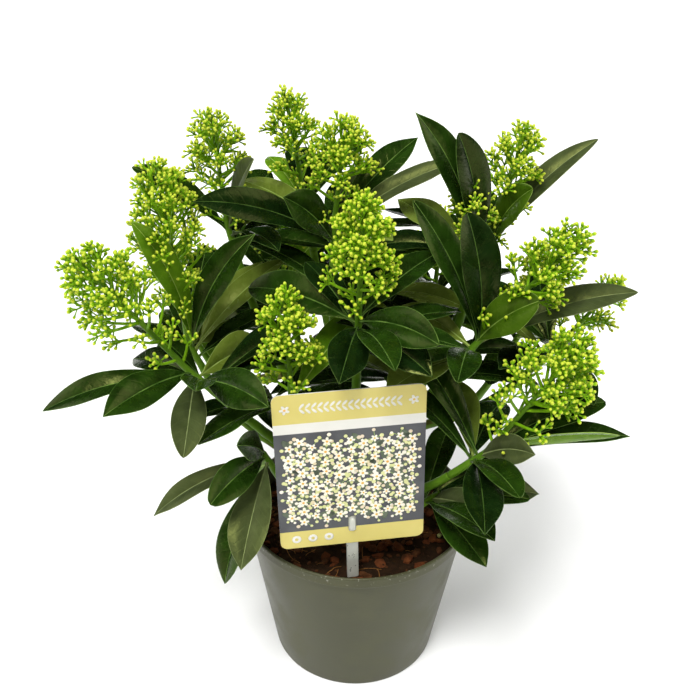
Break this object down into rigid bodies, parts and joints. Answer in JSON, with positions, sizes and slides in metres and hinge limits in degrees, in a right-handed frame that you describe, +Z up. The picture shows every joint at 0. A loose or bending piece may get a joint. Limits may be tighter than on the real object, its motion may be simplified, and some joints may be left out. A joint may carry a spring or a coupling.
{
  "type": "potted skimmia shrub",
  "caption": "Bushy evergreen skimmia with cones of green flower buds over whorls of dark leaves, in its round nursery pot with a blank-fronted plant card on a clear stake.",
  "frame": {"origin": "centre of the pot's flat underside", "axes": "+Z up, -Y towards the side that the plant card faces"},
  "size_m": [0.3985, 0.3898, 0.4148],
  "materials": {
    "pot_plastic": "matt olive-grey moulded plastic, faintly scuffed at the rim",
    "soil": "moist dark potting mix with bark chips",
    "bark": "thin grey-brown bark, greener on the young wood",
    "foliage": "leathery dark green leaves with a soft gloss, and bright green flower buds",
    "label_card": "smooth coated card",
    "clear_plastic": "clear moulded plastic"
  },
  "bodies": {
    "root": {"bough_back_centre": "bark", "bough_back_left": "bark", "bough_back_mid": "bark", "bough_back_right": "bark", "bough_back_top": "bark", "bough_centre": "bark", "bough_front": "bark", "bough_inner_back": "bark", "bough_inner_left": "bark", "bough_inner_right": "bark", "bough_left_low": "bark", "bough_left_mid": "bark", "bough_left_top": "bark", "bough_low_back": "bark", "bough_low_left": "bark", "bough_low_right": "bark", "bough_mid_top": "bark", "bough_right_back": "bark", "bough_right_far": "bark", "bough_right_inner": "bark", "bough_right_low": "bark", "bough_right_mid": "bark", "bough_right_top": "bark", "label_card": "label_card", "label_stake": "clear_plastic", "mass_back_centre": "foliage", "mass_back_left": "foliage", "mass_back_mid": "foliage", "mass_back_right": "foliage", "mass_back_top": "foliage", "mass_centre": "foliage", "mass_front": "foliage", "mass_inner_back": "foliage", "mass_inner_left": "foliage", "mass_inner_right": "foliage", "mass_left_low": "foliage", "mass_left_mid": "foliage", "mass_left_top": "foliage", "mass_low_back": "foliage", "mass_low_left": "foliage", "mass_low_right": "foliage", "mass_mid_top": "foliage", "mass_right_back": "foliage", "mass_right_far": "foliage", "mass_right_inner": "foliage", "mass_right_low": "foliage", "mass_right_mid": "foliage", "mass_right_top": "foliage", "pot": "pot_plastic", "soil": "soil", "trunk": "bark"}
  },
  "joints": []
}
